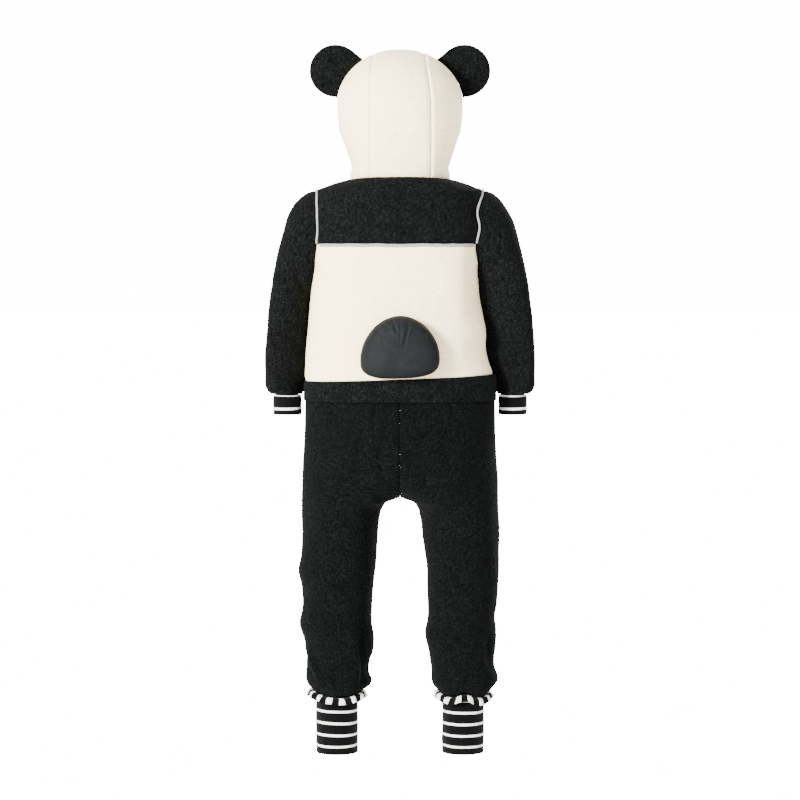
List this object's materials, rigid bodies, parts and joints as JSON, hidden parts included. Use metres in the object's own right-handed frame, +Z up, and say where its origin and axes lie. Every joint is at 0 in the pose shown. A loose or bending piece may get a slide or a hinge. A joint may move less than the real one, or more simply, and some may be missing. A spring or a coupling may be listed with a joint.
{
  "type": "panda onesie",
  "caption": "Hooded fleece animal costume suit with round ears, stuffed tail, rib cuffs, leg frills and a front zip, hollow as when worn.",
  "frame": {"origin": "centre of the neck opening, level with the neck seam at the sides, where the wearer's shoulders hold it up", "axes": "+Z up; the wearer faces -Y, so the back looks along +Y; the wearer's left is +X"},
  "size_m": [0.3648, 0.2047, 0.9586],
  "materials": {
    "sherpa_black": "black sherpa pile, matte, small curls",
    "fleece_cream": "cream boucle fleece, matte, short pile",
    "rib_striped": "black rib knit with narrow white stripes",
    "nylon_slate": "smooth dark grey nylon, slight sheen",
    "edge_tape": "light grey overlocked edge, matte",
    "zip_tape": "black woven tape with nylon chain",
    "zip_metal": "dull nickel-coloured metal"
  },
  "bodies": {
    "root": {"back_yoke": "sherpa_black", "hem_band": "sherpa_black", "front_yoke_left": "sherpa_black", "front_yoke_right": "sherpa_black", "sleeve_left": "sherpa_black", "sleeve_right": "sherpa_black", "ear_left": "sherpa_black", "ear_right": "sherpa_black", "trouser_back_left": "sherpa_black", "trouser_back_right": "sherpa_black", "trouser_front_left": "sherpa_black", "trouser_front_right": "sherpa_black", "hood_centre": "fleece_cream", "back_panel": "fleece_cream", "hood_side_left": "fleece_cream", "hood_side_right": "fleece_cream", "front_panel_left": "fleece_cream", "front_panel_right": "fleece_cream", "sleeve_cuff_left": "rib_striped", "sleeve_cuff_right": "rib_striped", "leg_cuff_left": "rib_striped", "leg_cuff_right": "rib_striped", "leg_ruffle_left": "rib_striped", "leg_ruffle_right": "rib_striped", "tail": "nylon_slate", "yoke_trim": "edge_tape", "armhole_trim_left": "edge_tape", "armhole_trim_right": "edge_tape", "zip_tape": "zip_tape", "zip_slider": "zip_metal"},
    "zip_pull": {"zip_pull": "zip_metal"}
  },
  "joints": [
    {"name": "pull_hinge", "type": "hinge", "parent": "root", "child": "zip_pull", "pos_m": [0, -0.07349, -0.03788], "axis": [-1, 0, 0], "range_deg": [0, 130]}
  ]
}
